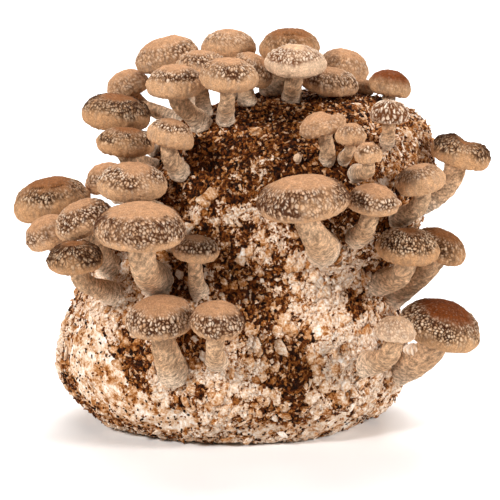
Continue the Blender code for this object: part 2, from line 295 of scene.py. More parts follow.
def sawdustSkin():
    # Oak sawdust under mycelium: damp dark crumbs and tan chips, overgrown by a dry and lacy white
    material, tree, shader, where = startMaterial("sawdustAndMycelium", 0.75, 0.12)
    tint = addNode(tree, "ShaderNodeAttribute", attribute_name="tint").outputs["Fac"]
    white = addNode(tree, "ShaderNodeAttribute", attribute_name="white").outputs["Fac"]
    dust = addNode(tree, "ShaderNodeTexNoise", {"Vector": where, "Scale": 650, "Detail": 4,
                                                "Roughness": 0.7}).outputs["Fac"]
    lace = addNode(tree, "ShaderNodeTexNoise", {"Vector": where, "Scale": 170, "Detail": 6,
                                                "Roughness": 0.72}).outputs["Fac"]
    grit = addNode(tree, "ShaderNodeMapRange", {"Value": dust, "From Min": 0.3, "From Max": 0.7,
                                                "To Min": -0.2, "To Max": 0.2}).outputs[0]
    veil = addNode(tree, "ShaderNodeMath", {0: lace, 1: 2.6, 2: white}, operation="MULTIPLY_ADD").outputs[0]
    veil = addNode(tree, "ShaderNodeMapRange", {"Value": veil, "From Min": 1.22, "From Max": 1.42}).outputs[0]
    bare = addNode(tree, "ShaderNodeMath", {0: tint, 1: grit}, operation="ADD").outputs[0]
    grown = addNode(tree, "ShaderNodeMath", {0: grit, 1: 0.76}, operation="ADD").outputs[0]
    grown = addNode(tree, "ShaderNodeMath", {0: grown, 1: bare}, operation="MAXIMUM").outputs[0]
    place = addNode(tree, "ShaderNodeMix", {0: veil, 2: bare, 3: grown}).outputs[0]
    skin = addNode(tree, "ShaderNodeValToRGB", {"Fac": place},
                   ramp=((0.0, "#120500"), (0.16, "#351503"), (0.32, "#70370d"), (0.46, "#a0642c"),
                         (0.58, "#c59468"), (0.72, "#e0c3a7"), (0.86, "#f3e4d4"), (1.0, "#fefaf5"))).outputs[0]
    bump = addNode(tree, "ShaderNodeBump", {"Height": dust, "Strength": 1.0, "Distance": 0.7 * mm})
    tree.links.new(skin, shader.inputs["Base Color"])
    tree.links.new(bump.outputs[0], shader.inputs["Normal"])
    return material


capSkins = {tone: capSkin(tone) for tone in capColours}
stemMaterial = stemSkin()
blockMaterial = sawdustSkin()


# The caps

capNet = {
    "nearStep": 0.45,           # spacing of the net on the caps that the front view shows well
    "farStep": 0.65,            # the same on the others
    "gillStep": 1.3,            # spacing under the cap
    "feltDepth": 0.2,
    "scaleSize": 1.75,
    "scaleHeight": 0.9,         # how far the scales stand up
    "crackDepth": 0.6,
    "gillDepth": 1.0,
}

# As the photograph shows them: width, height, lean, nod; tone; then where the belt of scales starts
# and ends as a share of the way from the crown to the rim, how strong it is, how long its scales are
mushrooms = {
    "front_1": (42, 20, -5, 9, "tan", 0.44, 0.78, 1.0, 1.5),
    "front_2": (32, 18, 2, 12, "tan", 0.42, 0.80, 1.0, 1.3),
    "front_3": (54.5, 23, -6, 0, "tan", 0.42, 0.80, 1.0, 1.7),
    "front_4": (31, 16, 8, 4, "tan", 0.42, 0.76, 0.7, 1.2),
    "front_5": (29, 13, -16, 2, "tan", 0.30, 0.70, 0.35, 1.1),
    "front_6": (18.5, 12, 2, 2, "tan", 0.25, 0.60, 0.5, 1.2),
    "front_7": (18, 11.5, -6, 2, "tan", 0.25, 0.60, 0.5, 1.2),
    "front_8": (24, 12, 0, 2, "pale", 0.10, 0.95, 1.0, 2.4),
    "left_1": (47, 22, -10, 2, "dark", 0.36, 0.62, 0.9, 1.4),
    "left_2": (28, 16, -12, 2, "tan", 0.40, 0.75, 0.5, 1.2),
    "left_3": (42.5, 19, 2, 4, "tan", 0.30, 0.66, 0.8, 1.2),
    "left_4": (30, 17, -24, 2, "tan", 0.40, 0.75, 0.6, 1.2),
    "left_5": (37, 17, -20, 6, "tan", 0.30, 0.72, 0.8, 1.2),
    "left_6": (54, 23, 0, 4, "tan", 0.42, 0.78, 1.0, 1.3),
    "left_7": (33, 16, -4, 4, "dark", 0.20, 0.72, 1.0, 1.2),
    "left_8": (29, 13, 4, 4, "tan", 0.25, 0.66, 0.8, 1.2),
    "right_1": (36, 17, 14, 0, "dark", 0.08, 0.50, 0.8, 1.4),
    "right_2": (31, 15, -14, 2, "tan", 0.20, 0.58, 0.6, 1.2),
    "right_3": (38, 18, 5, 5, "dark", 0.16, 0.64, 0.9, 1.2),
    "right_4": (34, 16, 22, 4, "dark", 0.36, 0.80, 0.55, 1.2),
    "right_5": (25, 14, 5, 0, "pale", 0.15, 0.80, 0.4, 1.1),
    "right_6": (50, 22, 15, 8, "chestnut", 0.40, 0.74, 0.85, 1.2),
    "shoulder_1": (41, 18, 6, 2, "dark", 0.28, 0.62, 1.0, 1.2),
    "shoulder_2": (35, 14, 4, 2, "dark", 0.28, 0.66, 0.8, 1.2),
    "shoulder_3": (29, 14, 12, 4, "tan", 0.28, 0.55, 0.6, 1.2),
    "top_1": (27, 15, -20, 0, "tan", 0.40, 0.75, 0.4, 1.2),
    "top_2": (39, 18, -14, 0, "tan", 0.42, 0.75, 0.5, 1.2),
    "top_3": (35, 17, -2, 2, "tan", 0.30, 0.60, 0.7, 1.2),
    "top_4": (31, 14, 0, 0, "tan", 0.25, 0.60, 0.7, 1.2),
    "top_5": (34, 17, 2, 0, "tan", 0.25, 0.60, 0.6, 1.2),
    "top_6": (35, 17, 2, 4, "tan", 0.26, 0.62, 0.6, 1.2),
    "top_7": (28, 16, 26, 0, "tan", 0.35, 0.70, 0.5, 1.2),
    "top_8": (37, 18, 0, 0, "dark", 0.42, 0.70, 0.4, 1.2),
    "top_9": (36, 16, 2, 4, "pale", 0.20, 0.60, 0.7, 1.2),
    "top_10": (32, 18, 12, 0, "tan", 0.35, 0.70, 0.3, 1.2),
    "top_11": (35, 14, 8, 2, "tan", 0.30, 0.70, 0.6, 1.2),
    "top_12": (13, 9, 6, 0, "tan", 0.35, 0.70, 0.3, 1.2),
    "top_13": (26, 13, 8, 2, "chestnut", 0.50, 0.80, 0.2, 1.2),
}
folded = ("front_5", "right_1")         # caps with a crease across the top

# Short dark splits in the skin: turn (-90 is the front), share of the way down, length in degrees
fissures = {
    "left_6": ((-38, 0.44, 16),),
    "front_2": ((-42, 0.46, 22),),
    "left_1": ((-118, 0.30, 46), (-60, 0.34, 40), (-88, 0.44, 30)),
    "left_5": ((-60, 0.30, 24),),
    "top_8": ((-95, 0.34, 40),),
}


def capFrame(name, bm):                 # the cap's middle, its turn from its own axes, and its real size
    width, height, lean, nod = mushrooms[name][:4]
    turn = np.array(Matrix.Rotation(math.radians(lean), 3, "Y") @ Matrix.Rotation(math.radians(nod), 3, "X"))
    points = np.array([vert.co for vert in bm.verts]) @ turn
    fans = [i for i, vert in enumerate(bm.verts) if len(vert.link_edges) >= 8]
    pole = points[max(fans, key=lambda i: points[i, 2])]
    near = min(1, 1 + ((turn @ pole)[1] / mm - view["aim"][1]) / view["distance"])
    middle = pole - [0, 0, 0.5 * height * near * mm]
    if name in folded:
        middle[2] = points[:, 2].min() + 0.5 * height * near * mm
    return turn @ middle, turn, width * near, height * near


def blurred(grid, rows, turns):         # grid of distances, blurred down the cap and round it
    count = grid.shape[1]
    away = np.minimum(np.arange(count), count - np.arange(count))
    kernel = np.exp(-0.5 * (away / turns) ** 2)
    grid = np.fft.irfft(np.fft.rfft(grid, axis=1) * np.fft.rfft(kernel / kernel.sum()), n=count, axis=1)
    over = np.roll(grid, count // 2, axis=1)
    reach = int(3 * rows)
    padded = np.concatenate([over[reach:0:-1], grid, np.repeat(grid[-1:], reach, axis=0)])
    weights = np.exp(-0.5 * (np.arange(-reach, reach + 1) / rows) ** 2)
    weights /= weights.sum()
    return sum(weights[i] * padded[i:i + len(grid)] for i in range(2 * reach + 1))


def polarSheet(rings, steps):           # a flat disc of rings, closed in its middle and by a last face
    bm = bmesh.new()
    line = [bm.verts.new(((ring + 0.5) / rings, 0, 0)) for ring in range(rings + 1)]
    edges = [bm.edges.new(pair) for pair in zip(line, line[1:])]
    bmesh.ops.spin(bm, geom=line + edges, cent=(0, 0, 0), axis=(0, 0, 1), angle=math.tau, steps=steps,
                   use_merge=True)
    bmesh.ops.remove_doubles(bm, verts=bm.verts, dist=1e-5)
    bmesh.ops.holes_fill(bm, edges=bm.edges, sides=0)
    return bm


def splitsAt(name, theta, share):       # how dark the short splits are at each point of the cap
    dark = np.zeros(len(theta))
    for turn, down, length in fissures.get(name, ()):
        off = np.degrees(np.angle(np.exp(1j * (theta - math.radians(turn)))))
        line = down + 0.012 * np.sin(off * 0.9) + 0.006 * np.sin(off * 2.3 + 1)
        across = np.exp(-((share - line) / 0.011) ** 2)
        dark = np.maximum(dark, across * smoothStep(length / 2, length / 2 - 3, abs(off)))
    return dark


def makeCap(name):
    tone, start, end, strength, stretch = mushrooms[name][4:]
    whole = "mushroom_" + name in nodes
    source = ("mushroom_" if whole else "cap_") + name
    seed = sum(map(ord, name)) * 7
    bm = mergedCopy(source)
    middle, turn, width, height = capFrame(name, bm)
    tree = BVHTree.FromBMesh(bm)
    bm.free()
    radius = width / 2
    step = capNet["farStep" if whole and name not in ("front_6", "front_7", "left_3") else "nearStep"]
    steps = 4 * round(math.tau * radius / step / 4)
    turns = np.arange(steps) / steps * math.tau
    lowest = math.atan2(-0.5 * height, 0.70 * radius)
    tilts = np.linspace(math.pi / 2, lowest, 50)
    reach = np.zeros((len(tilts), steps))
    origin = Vector(middle)
    for row, tilt in enumerate(tilts):
        aim = np.stack([np.cos(tilt) * np.cos(turns), np.cos(tilt) * np.sin(turns),
                        np.full(steps, np.sin(tilt))], axis=1) @ turn.T
        for column in range(steps):
            hit = tree.ray_cast(origin, Vector(aim[column]))
            reach[row, column] = hit[3] / mm if hit[3] else radius
        usual = np.median(reach[row])
        reach[row] = np.where(abs(reach[row] / usual - 1) > 0.35, usual, reach[row])
    reach = blurred(reach, 1.6, steps * 0.028) * 1.004      # rounds the facets off
    usual = reach.mean(axis=1)
    side, level = usual * np.cos(tilts), usual * np.sin(tilts)
    arc = np.concatenate([[0], np.cumsum(np.hypot(np.diff(side), np.diff(level)))])
    domeRings = round(arc[-1] / step)
    ringArc = (np.arange(domeRings) + 0.5) / (domeRings - 0.5) * arc[-1]
    ringTilt = np.interp(ringArc, arc, tilts)
    fine = np.stack([np.interp(-ringTilt, -tilts, reach[:, column]) for column in range(steps)], axis=1)
    domeSide = fine * np.cos(ringTilt)[:, None]
    domeLevel = fine * np.sin(ringTilt)[:, None]

    neck = 0.36 * radius                # the gills run from the rolled rim to the stem
    lip = ((0.95, -0.495), (0.89, -0.465), (0.84, -0.42), (0.80, -0.375), (0.77, -0.345))
    gillRings = max(3, round((0.77 * 0.70 * radius - neck) / capNet["gillStep"]))
    under = list(lip)
    for index in range(1, gillRings + 1):
        share = index / gillRings
        under.append((0.77 + (neck / radius / 0.70 - 0.77) * share, -0.345 - 0.05 * share))
    under.append((0.02, -0.395))
    underSide = np.stack([domeSide[-1] * share for share, drop in under])
    underLevel = np.stack([domeLevel[-1] + (drop + 0.5) * height for share, drop in under])
    underLevel[-1] = underLevel[-1].mean()
    gills = np.cos(turns * steps / 4) * 0.5 + 0.5
    for index in range(len(lip), len(under) - 1):
        underLevel[index] -= capNet["gillDepth"] * gills * min(1, (index - len(lip) + 1) / 2)

    rings = domeRings + len(under) - 1
    bm = polarSheet(rings, steps)
    mesh = bpy.data.meshes.new(name)
    bm.to_mesh(mesh)
    bm.free()
    flat = pointsOf(mesh)
    ring = np.clip(np.round(np.hypot(flat[:, 0], flat[:, 1]) * rings - 0.5).astype(int), 0, rings)
    column = np.round(np.arctan2(flat[:, 1], flat[:, 0]) / math.tau * steps).astype(int) % steps
    sides = np.concatenate([domeSide, underSide])
    levels = np.concatenate([domeLevel, underLevel])
    theta = turns[column]
    points = np.stack([sides[ring, column] * np.cos(theta), sides[ring, column] * np.sin(theta),
                       levels[ring, column]], axis=1)
    mesh.vertices.foreach_set("co", (points * mm).ravel())
    mesh.update()
    corners = np.array([points[list(face.vertices)[:3]] for face in mesh.polygons[:40]])
    facing = np.cross(corners[:, 1] - corners[:, 0], corners[:, 2] - corners[:, 0])[:, 2].sum()
    if facing < 0:                      # the first rings are the crown, which faces up
        mesh.flip_normals()
        mesh.update()
    outward = normalsOf(mesh)

    onDome = ring < domeRings
    down = np.where(onDome, ringArc[np.minimum(ring, domeRings - 1)], arc[-1])
    share = down / arc[-1]
    belt = radius * 0.85
    rolled = np.stack([belt * np.cos(theta), belt * np.sin(theta), down / stretch], axis=1)
    wobble = np.stack([softNoise(points + 50 * axis, 2.6, seed + axis) for axis in (0, 1, 2)], axis=1)
    near, room, tint = cellNoise(rolled + wobble * 0.7, capNet["scaleSize"], seed)
    patchy = softNoise(points, 8, seed + 11)
    broad = softNoise(points, 13, seed + 12)
    edge = share + 0.07 * patchy
    band = smoothStep(start - 0.08, start + 0.12, edge) * (1 - smoothStep(end - 0.10, end + 0.10, edge)) * onDome
    band = np.clip(band * strength * (1.05 + 0.7 * broad), 0, 1)
    crackAndShade = 1 - smoothStep(0.06, 0.34, room)
    dome = np.sqrt(np.clip(1 - (near / 0.8) ** 2, 0, 1))
    ridge = smoothStep(0.62, 0.25, near) * (0.3 + 0.7 * tint)
    dots, dotRoom, dotTint = cellNoise(points, 1.5, seed + 20)
    wart = smoothStep(0.5, 0.2, dots) * smoothStep(0.35, 0.7, dotTint) * onDome
    felt = softNoise(points, 1.1, seed + 13) * onDome
    wrinkle = softNoise(rolled * [1, 1, 0.3], 1.3, seed + 16) * smoothStep(start, 0.8, share) * onDome
    lift = band * ((dome * (0.3 + 0.7 * tint) - 0.5) * capNet["scaleHeight"] - crackAndShade * capNet["crackDepth"])
    lift += felt * capNet["feltDepth"] + wrinkle * 0.3 * (1 - band) + softNoise(points, 6, seed + 17) * 0.3
    lift += wart * 0.2 * (1 - band)
    splits = splitsAt(name, theta, share) * onDome
    points = points + outward * (lift - splits * 0.8)[:, None]
    points = points * mm @ turn.T + middle
    setAttribute(mesh, "crown", smoothStep(end, start - 0.1, edge) * onDome)
    # the pale colour sits on the raised scale tops and warts, partly painted highlight there, and is taken off in
    # the wrinkle valleys
    setAttribute(mesh, "flakeAndHighlight", np.clip(band * ridge * 0.9 + wart * (1 - band) * 0.08 - wrinkle * 0.12, 0, 1))
    # dark in the scale gaps, the wrinkle valleys and the splits: partly the skin's own colour, partly painted
    # shade in these recesses
    dark = band * (0.08 + crackAndShade * 1.1) + np.clip(-wrinkle, 0, 1) * 0.3 + splits * 1.2
    setAttribute(mesh, "crackAndShade", np.clip(dark, 0, 0.96))
    movePoints(mesh, points)
    addPiece("cap_" + name if whole else "capSkin_" + name, mesh, capSkins[tone], [source])
    return middle, turn, height


# The stems

stemNet = {
    "nearVoxel": 0.7,
    "farVoxel": 0.9,
    "rounds": 6,
    "fibreHeight": 0.34,
    "intoCap": 2.2,             # how far a stem runs up into its cap
    "hairSize": 2.4,            # how long the short hairs across the stem are
}


def makeStem(name, middle, turn, height):
    whole = "mushroom_" + name in nodes
    source = ("mushroom_" if whole else "stem_") + name
    disc = -0.38 * height * mm
    upward = turn[:, 2]
    bm = mergedCopy(source)
    if whole:                           # the cap is cut off, and the stem's cut end closed
        bmesh.ops.bisect_plane(bm, geom=bm.verts[:] + bm.edges[:] + bm.faces[:],
                               plane_co=Vector(middle + upward * (disc - 0.3 * mm)), plane_no=Vector(upward),
                               clear_outer=True)
        heart = middle + upward * disc
        first = min(bm.verts, key=lambda vert: np.linalg.norm(np.array(vert.co) - heart))
        kept, wave = {first}, [first]
        while wave:
            wave = [edge.other_vert(vert) for vert in wave for edge in vert.link_edges]
            wave = [vert for vert in set(wave) if vert not in kept]
            kept.update(wave)
        bmesh.ops.delete(bm, geom=[vert for vert in bm.verts if vert not in kept], context="VERTS")
        bmesh.ops.holes_fill(bm, edges=bm.edges, sides=0)
        bmesh.ops.recalc_face_normals(bm, faces=bm.faces)
    mesh = refined(bm, 2, stemNet["farVoxel" if whole else "nearVoxel"], stemNet["rounds"])
    points = pointsOf(mesh)
    outward = normalsOf(mesh)
    seed = sum(map(ord, name)) * 5
    above = (points - middle) @ upward - disc
    points = points + upward * (smoothStep(-2.5 * mm, -0.6 * mm, above) * stemNet["intoCap"] * mm)[:, None]
    foot = points[np.argsort(points @ upward)[:40]].mean(axis=0)
    neck = middle + upward * disc
    length = np.linalg.norm(neck - foot)
    along = (neck - foot) / length
    run = (points - foot) @ along
    drawn = (points - foot - 0.62 * run[:, None] * along) / mm      # stretches the pattern up the stem
    fibre = softNoise(drawn, 1.4, seed)
    swell = softNoise(points / mm, 7, seed + 6) * 0.5
    low = smoothStep(0.5, 0.0, run / length)
    rings = softNoise((points - foot + 1.2 * run[:, None] * along) / mm, 2.2, seed + 8) * low
    lift = fibre * stemNet["fibreHeight"] + rings * 0.3 + swell + 0.2 + low * 0.8
    aside = points - foot - run[:, None] * along
    climb = 2.3 * run - 0.9 * np.clip(run, 0, length) ** 2 / length      # short across the foot, long at the neck
    lean = 0.5 * (aside @ np.cross(along, [0, 1, 0]))
    strands = (aside + (climb + lean)[:, None] * along) / mm / stemNet["hairSize"]
    setAttribute(mesh, "strands", strands)
    hairs = softNoise(strands, 1.0, seed + 9)
    # whiter over the lower half: partly the foot's own paler colour, partly painted shade that leaves the neck
    # under the cap darker
    setAttribute(mesh, "foot", low * 0.75)
    lift += hairs * 0.22
    movePoints(mesh, points + outward * lift[:, None] * mm)
    addPiece("stem_of_" + name if whole else "stemSkin_" + name, mesh, stemMaterial, [source])
    return foot


feet = np.array([makeStem(name, *makeCap(name)) for name in mushrooms])
print("caps and stems made:", len(mushrooms))


# The block

blockNet = {
    "voxel": 1.32,
    "lumpSize": 8.0,
    "lumpHeight": 1.6,
    "crumbSize": 3.2,
    "crumbHeight": 0.9,
    "footReach": 9,             # how far white growth spreads from a mushroom's foot
}

# Where the photograph shows dark crumbs (below 0) or white growth (above 0) on the front:
# across and up from the middle of the base, half width, half height, strength
patches = (
    (-70, 33, 9, 18, -1.2), (-62, 17, 7, 8, -0.8), (-106, 30, 5, 24, -0.7), (-90, 3, 14, 5, -1.2),
    (-38, 7, 10, 5, -1.1), (-30, 36, 10, 8, -0.7), (-38, 46, 8, 8, -0.7), (-39, 73, 11, 9, -0.6),
    (1, 65, 10, 12, -0.7), (12, 58, 12, 14, -0.5), (28, 30, 9, 10, -0.8), (20, 9, 12, 9, -1.0),
    (69, 73, 14, 7, -0.6), (62, 64, 6, 7, -0.6), (40, 167, 46, 24, -0.9), (-21, 155, 21, 17, -0.8),
    (82, 18, 6, 12, -0.5), (-27, 112, 12, 12, -0.5), (75, 112, 10, 12, -0.4), (-10, 128, 12, 7, -0.5),
    (4, 166, 5, 6, 1.3), (6, 151, 8, 9, 1.3), (-16, 141, 11, 6, 0.9), (-15, 118, 13, 9, 0.9),
    (33, 147, 10, 5, 0.6), (93, 158, 13, 20, 0.4), (79, 137, 8, 6, 0.9), (10, 103, 13, 12, 0.7),
    (54, 87, 16, 8, 1.1), (40, 68, 14, 12, 0.8), (46, 46, 15, 12, 1.2), (68, 35, 14, 13, 1.2),
    (52, 14, 16, 11, 1.4), (6, -6, 20, 8, 0.9), (58, -3, 34, 8, 1.3), (-96, 40, 13, 20, 1.2),
    (-72, 10, 24, 10, 0.9), (-40, -3, 24, 8, 0.9), (-84, 60, 8, 8, 0.7),
)
# Where the growth is one smooth skin
skins = ((-95, 37, 13, 18, 1.3), (-86, 18, 12, 12, 1.2), (-68, 7, 13, 10, 1.1), (-45, -2, 16, 8, 1.0),
         (58, -4, 34, 6, 1.0), (52, 12, 9, 7, 0.9), (5, -7, 18, 6, 0.6))


def blotches(points, table):
    across, up = seenAt(points)
    total = np.zeros(len(points))
    front = smoothStep(45, 5, points[:, 1] / mm)
    for x, y, wide, high, strength in table:
        total += strength * np.exp(-((across - x) / wide) ** 2 - ((up - y) / high) ** 2) * front
    return total


def growthAt(points):                   # below 0 where sawdust is mostly bare, above 0 where it is overgrown
    up = points[:, 2] / mm
    fall = np.interp(up, [0, 25, 60, 90, 125, 150, 190], [0.10, 0.04, 0.0, -0.12, -0.16, -0.36, -0.48])
    clouds = softNoise(points / mm, 17, 401, 2) * 0.28 + softNoise(points / mm, 5, 402, 2) * 0.22
    gap = np.min([np.linalg.norm(points - foot, axis=1) for foot in feet], axis=0) / mm
    collar = np.exp(-(gap / blockNet["footReach"]) ** 2) * np.interp(up, [110, 150], [0.4, 0.1])
    return np.clip(fall + 0.45 * blotches(points, patches) + clouds + collar, -0.8, 0.24)


def skinAt(points):                     # 1 where the growth is one smooth skin
    ragged = softNoise(points / mm, 5, 403, 3) * 0.25
    return smoothStep(0.3, 0.55, blotches(points, skins) + ragged)


def makeBlock():
    bm = mergedCopy("log")
    bmesh.ops.join_triangles(bm, faces=bm.faces, angle_face_threshold=0.7, angle_shape_threshold=3.1)
    mesh = refined(bm, 2, blockNet["voxel"], 2)
    points = pointsOf(mesh)
    outward = normalsOf(mesh)
    white = growthAt(points)
    skin = skinAt(points)
    spots = points / mm
    shift = np.stack([softNoise(spots + 90 * axis, 7, 410 + axis) for axis in (0, 1, 2)], axis=1)
    bigNear, bigRoom, bigTint = cellNoise(spots + shift * 1.6, blockNet["lumpSize"], 420)
    near, room, tint = cellNoise(spots + shift * 0.8, blockNet["crumbSize"], 430)
    lump = np.sqrt(np.clip(1 - (bigNear / 0.8) ** 2, 0, 1)) * smoothStep(0.0, 0.25, bigRoom)
    grain = np.sqrt(np.clip(1 - (near / 0.85) ** 2, 0, 1)) * (0.5 + 0.5 * tint)
    overgrown = smoothStep(-0.4, 0.4, white)
    lift = (0.5 + 0.5 * overgrown) * (1 - skin) * lump * (0.4 + 0.6 * bigTint) * blockNet["lumpHeight"]
    lift += (1 - 0.7 * skin) * grain * blockNet["crumbHeight"]
    lift += softNoise(spots, 24, 440) * 1.2 + skin * softNoise(spots, 6, 441, 3) * 1.3 - 1.2
    lift *= smoothStep(0, 6, spots[:, 2])
    # lighter on the crumb tops and darker in the gaps between them: partly the crumbs' own colour, partly painted
    # shade in the gaps
    value = 0.06 + 0.16 * tint + 0.16 * grain
    stain = softNoise(spots, 10, 442, 2) * 0.24 + softNoise(spots, 3.2, 443, 2) * 0.22
    value = value * (1 - skin) + skin * (0.66 + stain)
    setAttribute(mesh, "tint", np.clip(value, 0, 1))
    setAttribute(mesh, "white", (white - 0.15) * (1 - skin) - 0.1 * skin)
    movePoints(mesh, points + outward * lift[:, None] * mm)
    addPiece("logSurface", mesh, blockMaterial, ["log"])
    return mesh


blockMesh = makeBlock()
print("block made:", len(blockMesh.polygons), "faces")


# Crumbs, chips and flakes on the block

crumbs = {
    "frontSpacing": 1.5,        # between crumbs, on the front and the top
    "backSpacing": 2.4,
    "frontWide": (1.1, 2.1),
    "backWide": (1.8, 3.2),
    "flakeSpacing": 4.0,
    "flakeWide": (3.4, 8.4),
    "chipShare": 0.10,          # of the crumbs that are long pale chips, more of them on the right bulge
}


def crumbShape(seed):                   # an angular crumb a unit across
    bm = bmesh.new()
    bmesh.ops.create_cube(bm, size=0.8)
    for vert, shift in zip(bm.verts, np.random.default_rng(seed).uniform(-0.32, 0.32, (8, 3))):
        vert.co += Vector(shift)
    return bm


def flakeShape(seed):                   # a flat, lobed flake a unit across
    bm = bmesh.new()
    bmesh.ops.create_icosphere(bm, subdivisions=2, radius=0.5)
    points = np.array([vert.co for vert in bm.verts])
    push = 1 + 0.75 * softNoise(points * [2.6, 2.6, 0.8] + seed * 3.1, 1.0, seed, 2)
    for vert, much in zip(bm.verts, push):
        vert.co *= max(0.35, much)
        vert.co.z += 0.5 * (vert.co.x * vert.co.y)      # warped, not flat
    return bm


def shapeArrays(bm):                    # points, faces, and how far out from the middle each point is
    points = np.array([vert.co for vert in bm.verts])
    faces = np.array([[vert.index for vert in face.verts] for face in bm.faces])
    bm.free()
    out = np.hypot(points[:, 0], points[:, 1])
    return points, faces, out / out.max()


def scatter(name, shapes, places, outward, sizes, tints, rim, smooth):
    count = len(places)
    spin = dice.random(count) * math.tau
    z = outward + dice.normal(0, 0.25, (count, 3))
    z /= np.linalg.norm(z, axis=1)[:, None]
    x = np.cross(z, np.stack([np.cos(spin), np.sin(spin), 0.3 * np.sin(3 * spin)], axis=1))
    x /= np.linalg.norm(x, axis=1)[:, None]
    y = np.cross(z, x)
    kind = np.arange(count) % len(shapes)
    allPoints, allFaces, allTints, start = [], [], [], 0
    for index, (shape, faces, out) in enumerate(shapes):
        mine = kind == index
        local = shape[None] * sizes[mine][:, None]
        spread = sum(local[:, :, axis:axis + 1] * side[mine][:, None] for axis, side in enumerate((x, y, z)))
        made = places[mine][:, None] + spread * mm
        first = start + len(shape) * np.arange(len(made))
        allPoints.append(made.reshape(-1, 3))
        allFaces.append((faces[None] + first[:, None, None]).reshape(-1, faces.shape[1]))
        # darker towards each piece's rim: on the flakes partly their browner edge, partly painted shade where the
        # rim turns away
        allTints.append((tints[mine][:, None] - rim * out[None] ** 2).ravel())
        start += made.shape[0] * made.shape[1]
    mesh = bpy.data.meshes.new(name)
    points = np.concatenate(allPoints)
    mesh.from_pydata(points, [], np.concatenate(allFaces))
    tint = np.concatenate(allTints) + 0.08 * softNoise(points / mm, 1.6, 471)
    setAttribute(mesh, "tint", np.clip(tint, 0, 1))
    setAttribute(mesh, "white", growthAt(points) + (-0.22 if smooth else -3 * skinAt(points)))
    movePoints(mesh, points)
    addPiece(name, mesh, blockMaterial, smooth=smooth)
    print(name, count, "of them,", len(mesh.polygons), "faces")


def spreadPlaces(mesh, spacing, back):  # places over the front or back, about one in each cube of that size
    mesh.calc_loop_triangles()
    corners = np.empty(len(mesh.loop_triangles) * 3, dtype=np.int32)
    mesh.loop_triangles.foreach_get("vertices", corners)
    corners = pointsOf(mesh)[corners.reshape(-1, 3)]
    middle = corners[:, :, 1].mean(axis=1) - 0.3 * (corners[:, :, 2].mean(axis=1) - 100 * mm)
    corners = corners[(middle > 0.025) == back]
    across = np.cross(corners[:, 1] - corners[:, 0], corners[:, 2] - corners[:, 0])
    area = np.linalg.norm(across, axis=1)
    tries = int(2.2 * area.sum() / 2 / (spacing * mm) ** 2)
    chosen = dice.choice(len(area), tries, p=area / area.sum())
    a, b = dice.random(tries), dice.random(tries)
    a, b = np.where(a + b > 1, 1 - a, a), np.where(a + b > 1, 1 - b, b)
    picked = corners[chosen]
    places = picked[:, 0] + a[:, None] * (picked[:, 1] - picked[:, 0]) + b[:, None] * (picked[:, 2] - picked[:, 0])
    cells = np.floor(places / (spacing * mm)).astype(int)
    kept = np.unique(cells, axis=0, return_index=True)[1]
    kept = kept[places[kept, 2] > 1.2 * mm]
    normal = across[chosen[kept]]
    return places[kept], normal / np.linalg.norm(normal, axis=1)[:, None]


def makeFlakes(back):
    places, outward = spreadPlaces(blockMesh, crumbs["flakeSpacing"], back)
    height = np.interp(places[:, 2] / mm, [105, 140], [1, 0.15])
    wanted = smoothStep(-0.55, 0.45, growthAt(places)) * height * (1 - 0.95 * skinAt(places))
    kept = dice.random(len(places)) < 0.85 * wanted
    places, outward = places[kept], outward[kept]
    count = len(places)
    wide = dice.uniform(*crumbs["flakeWide"], count) * dice.uniform(0.7, 1, count)
    sizes = np.stack([wide * dice.uniform(1.0, 1.4, count), wide, dice.uniform(1.6, 2.8, count)], axis=1)
    tints = np.clip(dice.normal(0.66, 0.09, count), 0.45, 0.9)
    shapes = [shapeArrays(flakeShape(seed)) for seed in range(20, 34)]
    # the flakes darken towards their rims, partly their own browner edge and partly painted shade
    scatter("myceliumFlakes" + ("Back" if back else "Front"), shapes, places, outward, sizes, tints, 0.16, True)
    return places, wide


def makeCrumbs(back, flakePlaces, flakeWide):
    places, outward = spreadPlaces(blockMesh, crumbs["backSpacing" if back else "frontSpacing"], back)
    tree = KDTree(len(flakePlaces))
    for index, place in enumerate(flakePlaces):
        tree.insert(place, index)
    tree.balance()
    found = [tree.find(place) for place in places]
    covered = np.array([gap < 0.36 * flakeWide[index] * mm for spot, index, gap in found])
    skin = skinAt(places)
    kept = ~covered & (dice.random(len(places)) > 0.85 * skin)
    places, outward, skin = places[kept], outward[kept], skin[kept]
    count = len(places)
    across, up = seenAt(places)
    bulge = np.exp(-((across - 88) / 24) ** 2 - ((up - 155) / 30) ** 2)
    wide = dice.uniform(*crumbs["backWide" if back else "frontWide"], count)
    longer = np.where(dice.random(count) < crumbs["chipShare"] * (1 + 3 * bulge), 1.9, 1.0)
    wide = wide * (1 + 0.25 * bulge) * (1 - 0.35 * skin)
    sizes = np.stack([wide * longer * dice.uniform(0.9, 1.5, count), wide,
                      wide * dice.uniform(0.6, 1, count) / longer ** 0.5], axis=1)
    brown = dice.beta(1.3, 2.6, count) * 0.72 + 0.16 * bulge
    pale = (longer > 1) | (dice.random(count) < 0.03 + 0.2 * bulge)
    tints = np.where(pale, dice.uniform(0.36, 0.68, count) + 0.1 * bulge, brown)
    shapes = [shapeArrays(crumbShape(seed)) for seed in range(12)]
    part = "Back" if back else "Front"
    # each joined mesh stays small enough to export whole
    half = len(places) // 2 if not back else 0          # the front crumbs go into two joined meshes, half of them in each
    for label, chosen in (("Low" + part, slice(0, half)), ("High" + part, slice(half, None))):
        if chosen != slice(0, 0):
            scatter("sawdustCrumbs" + label, shapes, places[chosen] + outward[chosen] * 0.1 * mm, outward[chosen],
                    sizes[chosen], tints[chosen], 0.0, False)


for back in (False, True):
    makeCrumbs(back, *makeFlakes(back))
print("crumbs and flakes made")


# The bud

